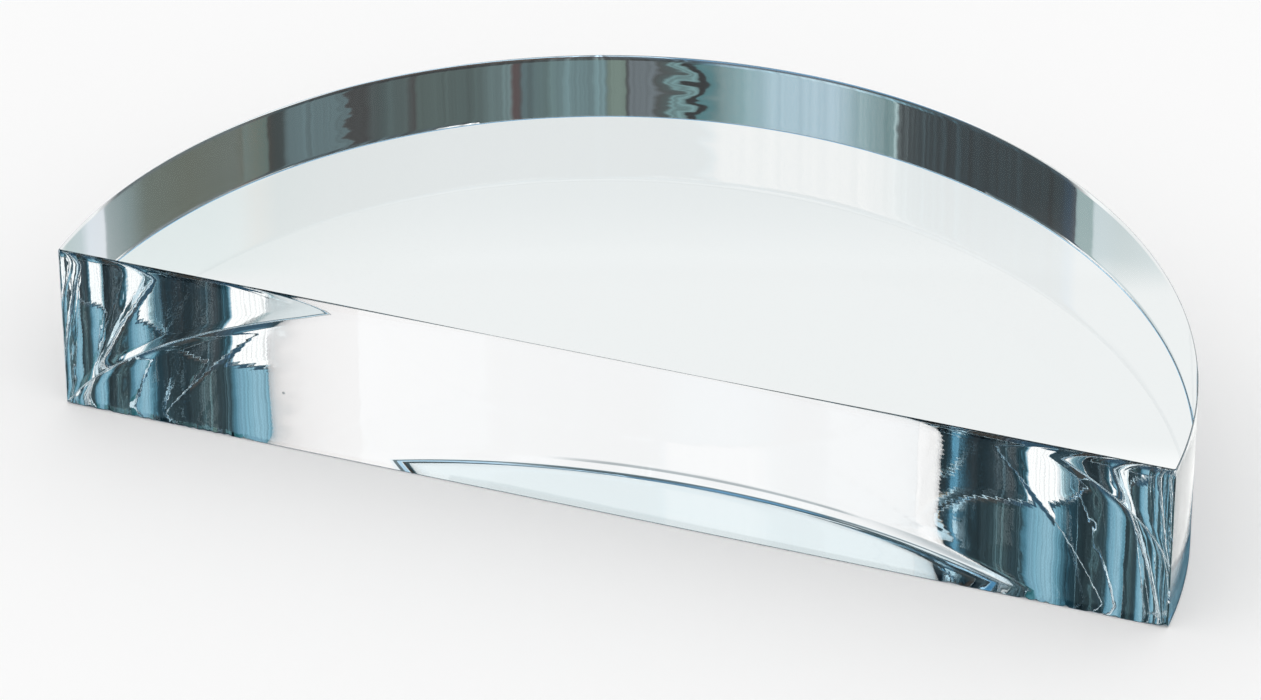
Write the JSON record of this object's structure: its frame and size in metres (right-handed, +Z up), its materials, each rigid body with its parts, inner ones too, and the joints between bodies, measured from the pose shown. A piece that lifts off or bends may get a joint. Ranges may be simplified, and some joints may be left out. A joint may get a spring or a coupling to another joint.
{
  "type": "semicircular acrylic block",
  "caption": "Clear half-disc block with polished faces, for showing how light bends and reflects at a flat and a curved surface.",
  "frame": {"origin": "centre of the round wall's arc, at the foot of the flat face, on the plane that the block rests on", "axes": "+X along the flat face, to the right for someone who looks at it; +Y from the flat face into the block, towards the middle of the round wall; +Z up, through the sheet's thickness"},
  "size_m": [0.1, 0.05, 0.0159],
  "materials": {
    "clear_acrylic": "clear cast acrylic, polished on every face"
  },
  "bodies": {
    "root": {"acrylic_block": "clear_acrylic"}
  },
  "joints": []
}
